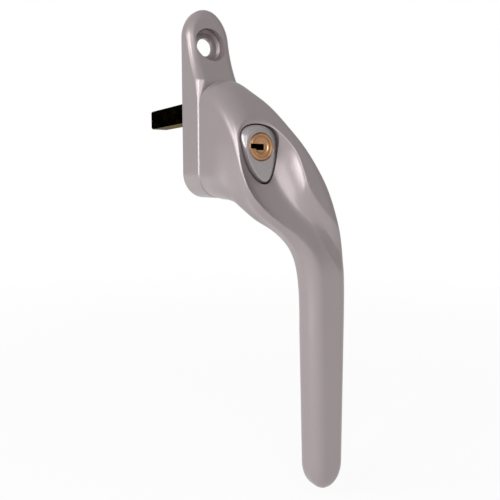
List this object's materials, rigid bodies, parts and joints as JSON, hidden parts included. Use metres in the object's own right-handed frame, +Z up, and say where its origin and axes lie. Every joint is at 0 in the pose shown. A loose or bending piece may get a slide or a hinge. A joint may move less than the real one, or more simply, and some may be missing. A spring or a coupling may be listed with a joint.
{
  "type": "casement window fastener",
  "caption": "Cranked lever window fastener: a long base with a raised fixing tab, a square spindle behind, and a key lock in a teardrop push button set in a thumb recess.",
  "frame": {"origin": "spindle axis at the mounting face", "axes": "+Z up along the base, +X to the right seen from the room, -Y out of the mounting face towards the room, +Y along the spindle into the window"},
  "size_m": [0.0392, 0.0835, 0.1617],
  "materials": {
    "silver_paint": "satin silver paint",
    "button_paint": "satin silver paint",
    "brass": "turned",
    "wafer_brass": "stamped",
    "spindle_steel": "yellow passivated zinc plate on steel",
    "spring_steel": "bright",
    "zinc": "plain die casting",
    "zinc_plate": "zinc plated sheet",
    "polymer": "moulded"
  },
  "bodies": {
    "base": {"base_plate": "silver_paint", "bearing_bush": "zinc", "rear_cover": "zinc_plate", "detent_plunger_upper": "polymer", "detent_plunger_lower": "polymer", "detent_spring_upper": "spring_steel", "detent_spring_lower": "spring_steel"},
    "lever": {"lever": "silver_paint", "spindle": "spindle_steel", "spindle_pin": "spindle_steel", "detent_cam": "zinc", "retaining_clip": "spring_steel", "barrel_sleeve": "brass", "button_spring": "spring_steel"},
    "lock_button": {"lock_button": "button_paint", "lock_barrel": "brass", "locking_bolt": "spindle_steel", "stop_clip": "spring_steel", "plug_pin": "spindle_steel"},
    "lock_plug": {"lock_plug": "brass", "lock_wafers": "wafer_brass"}
  },
  "joints": [
    {"name": "lever_turn", "type": "hinge", "parent": "base", "child": "lever", "pos_m": [0, 0, 0], "axis": [0, -1, 0], "range_deg": [0, 90]},
    {"name": "button_push", "type": "slide", "parent": "lever", "child": "lock_button", "axis": [0, 1, 0], "range_m": [0, 0.0035], "stiffness_N_per_m": 700, "springref_m": -0.002, "deforming": ["button_spring"]},
    {"name": "key_turn", "type": "hinge", "parent": "lock_button", "child": "lock_plug", "pos_m": [0.0014, -0.036, -0.0139], "axis": [0, -1, 0], "range_deg": [-90, 0]}
  ]
}
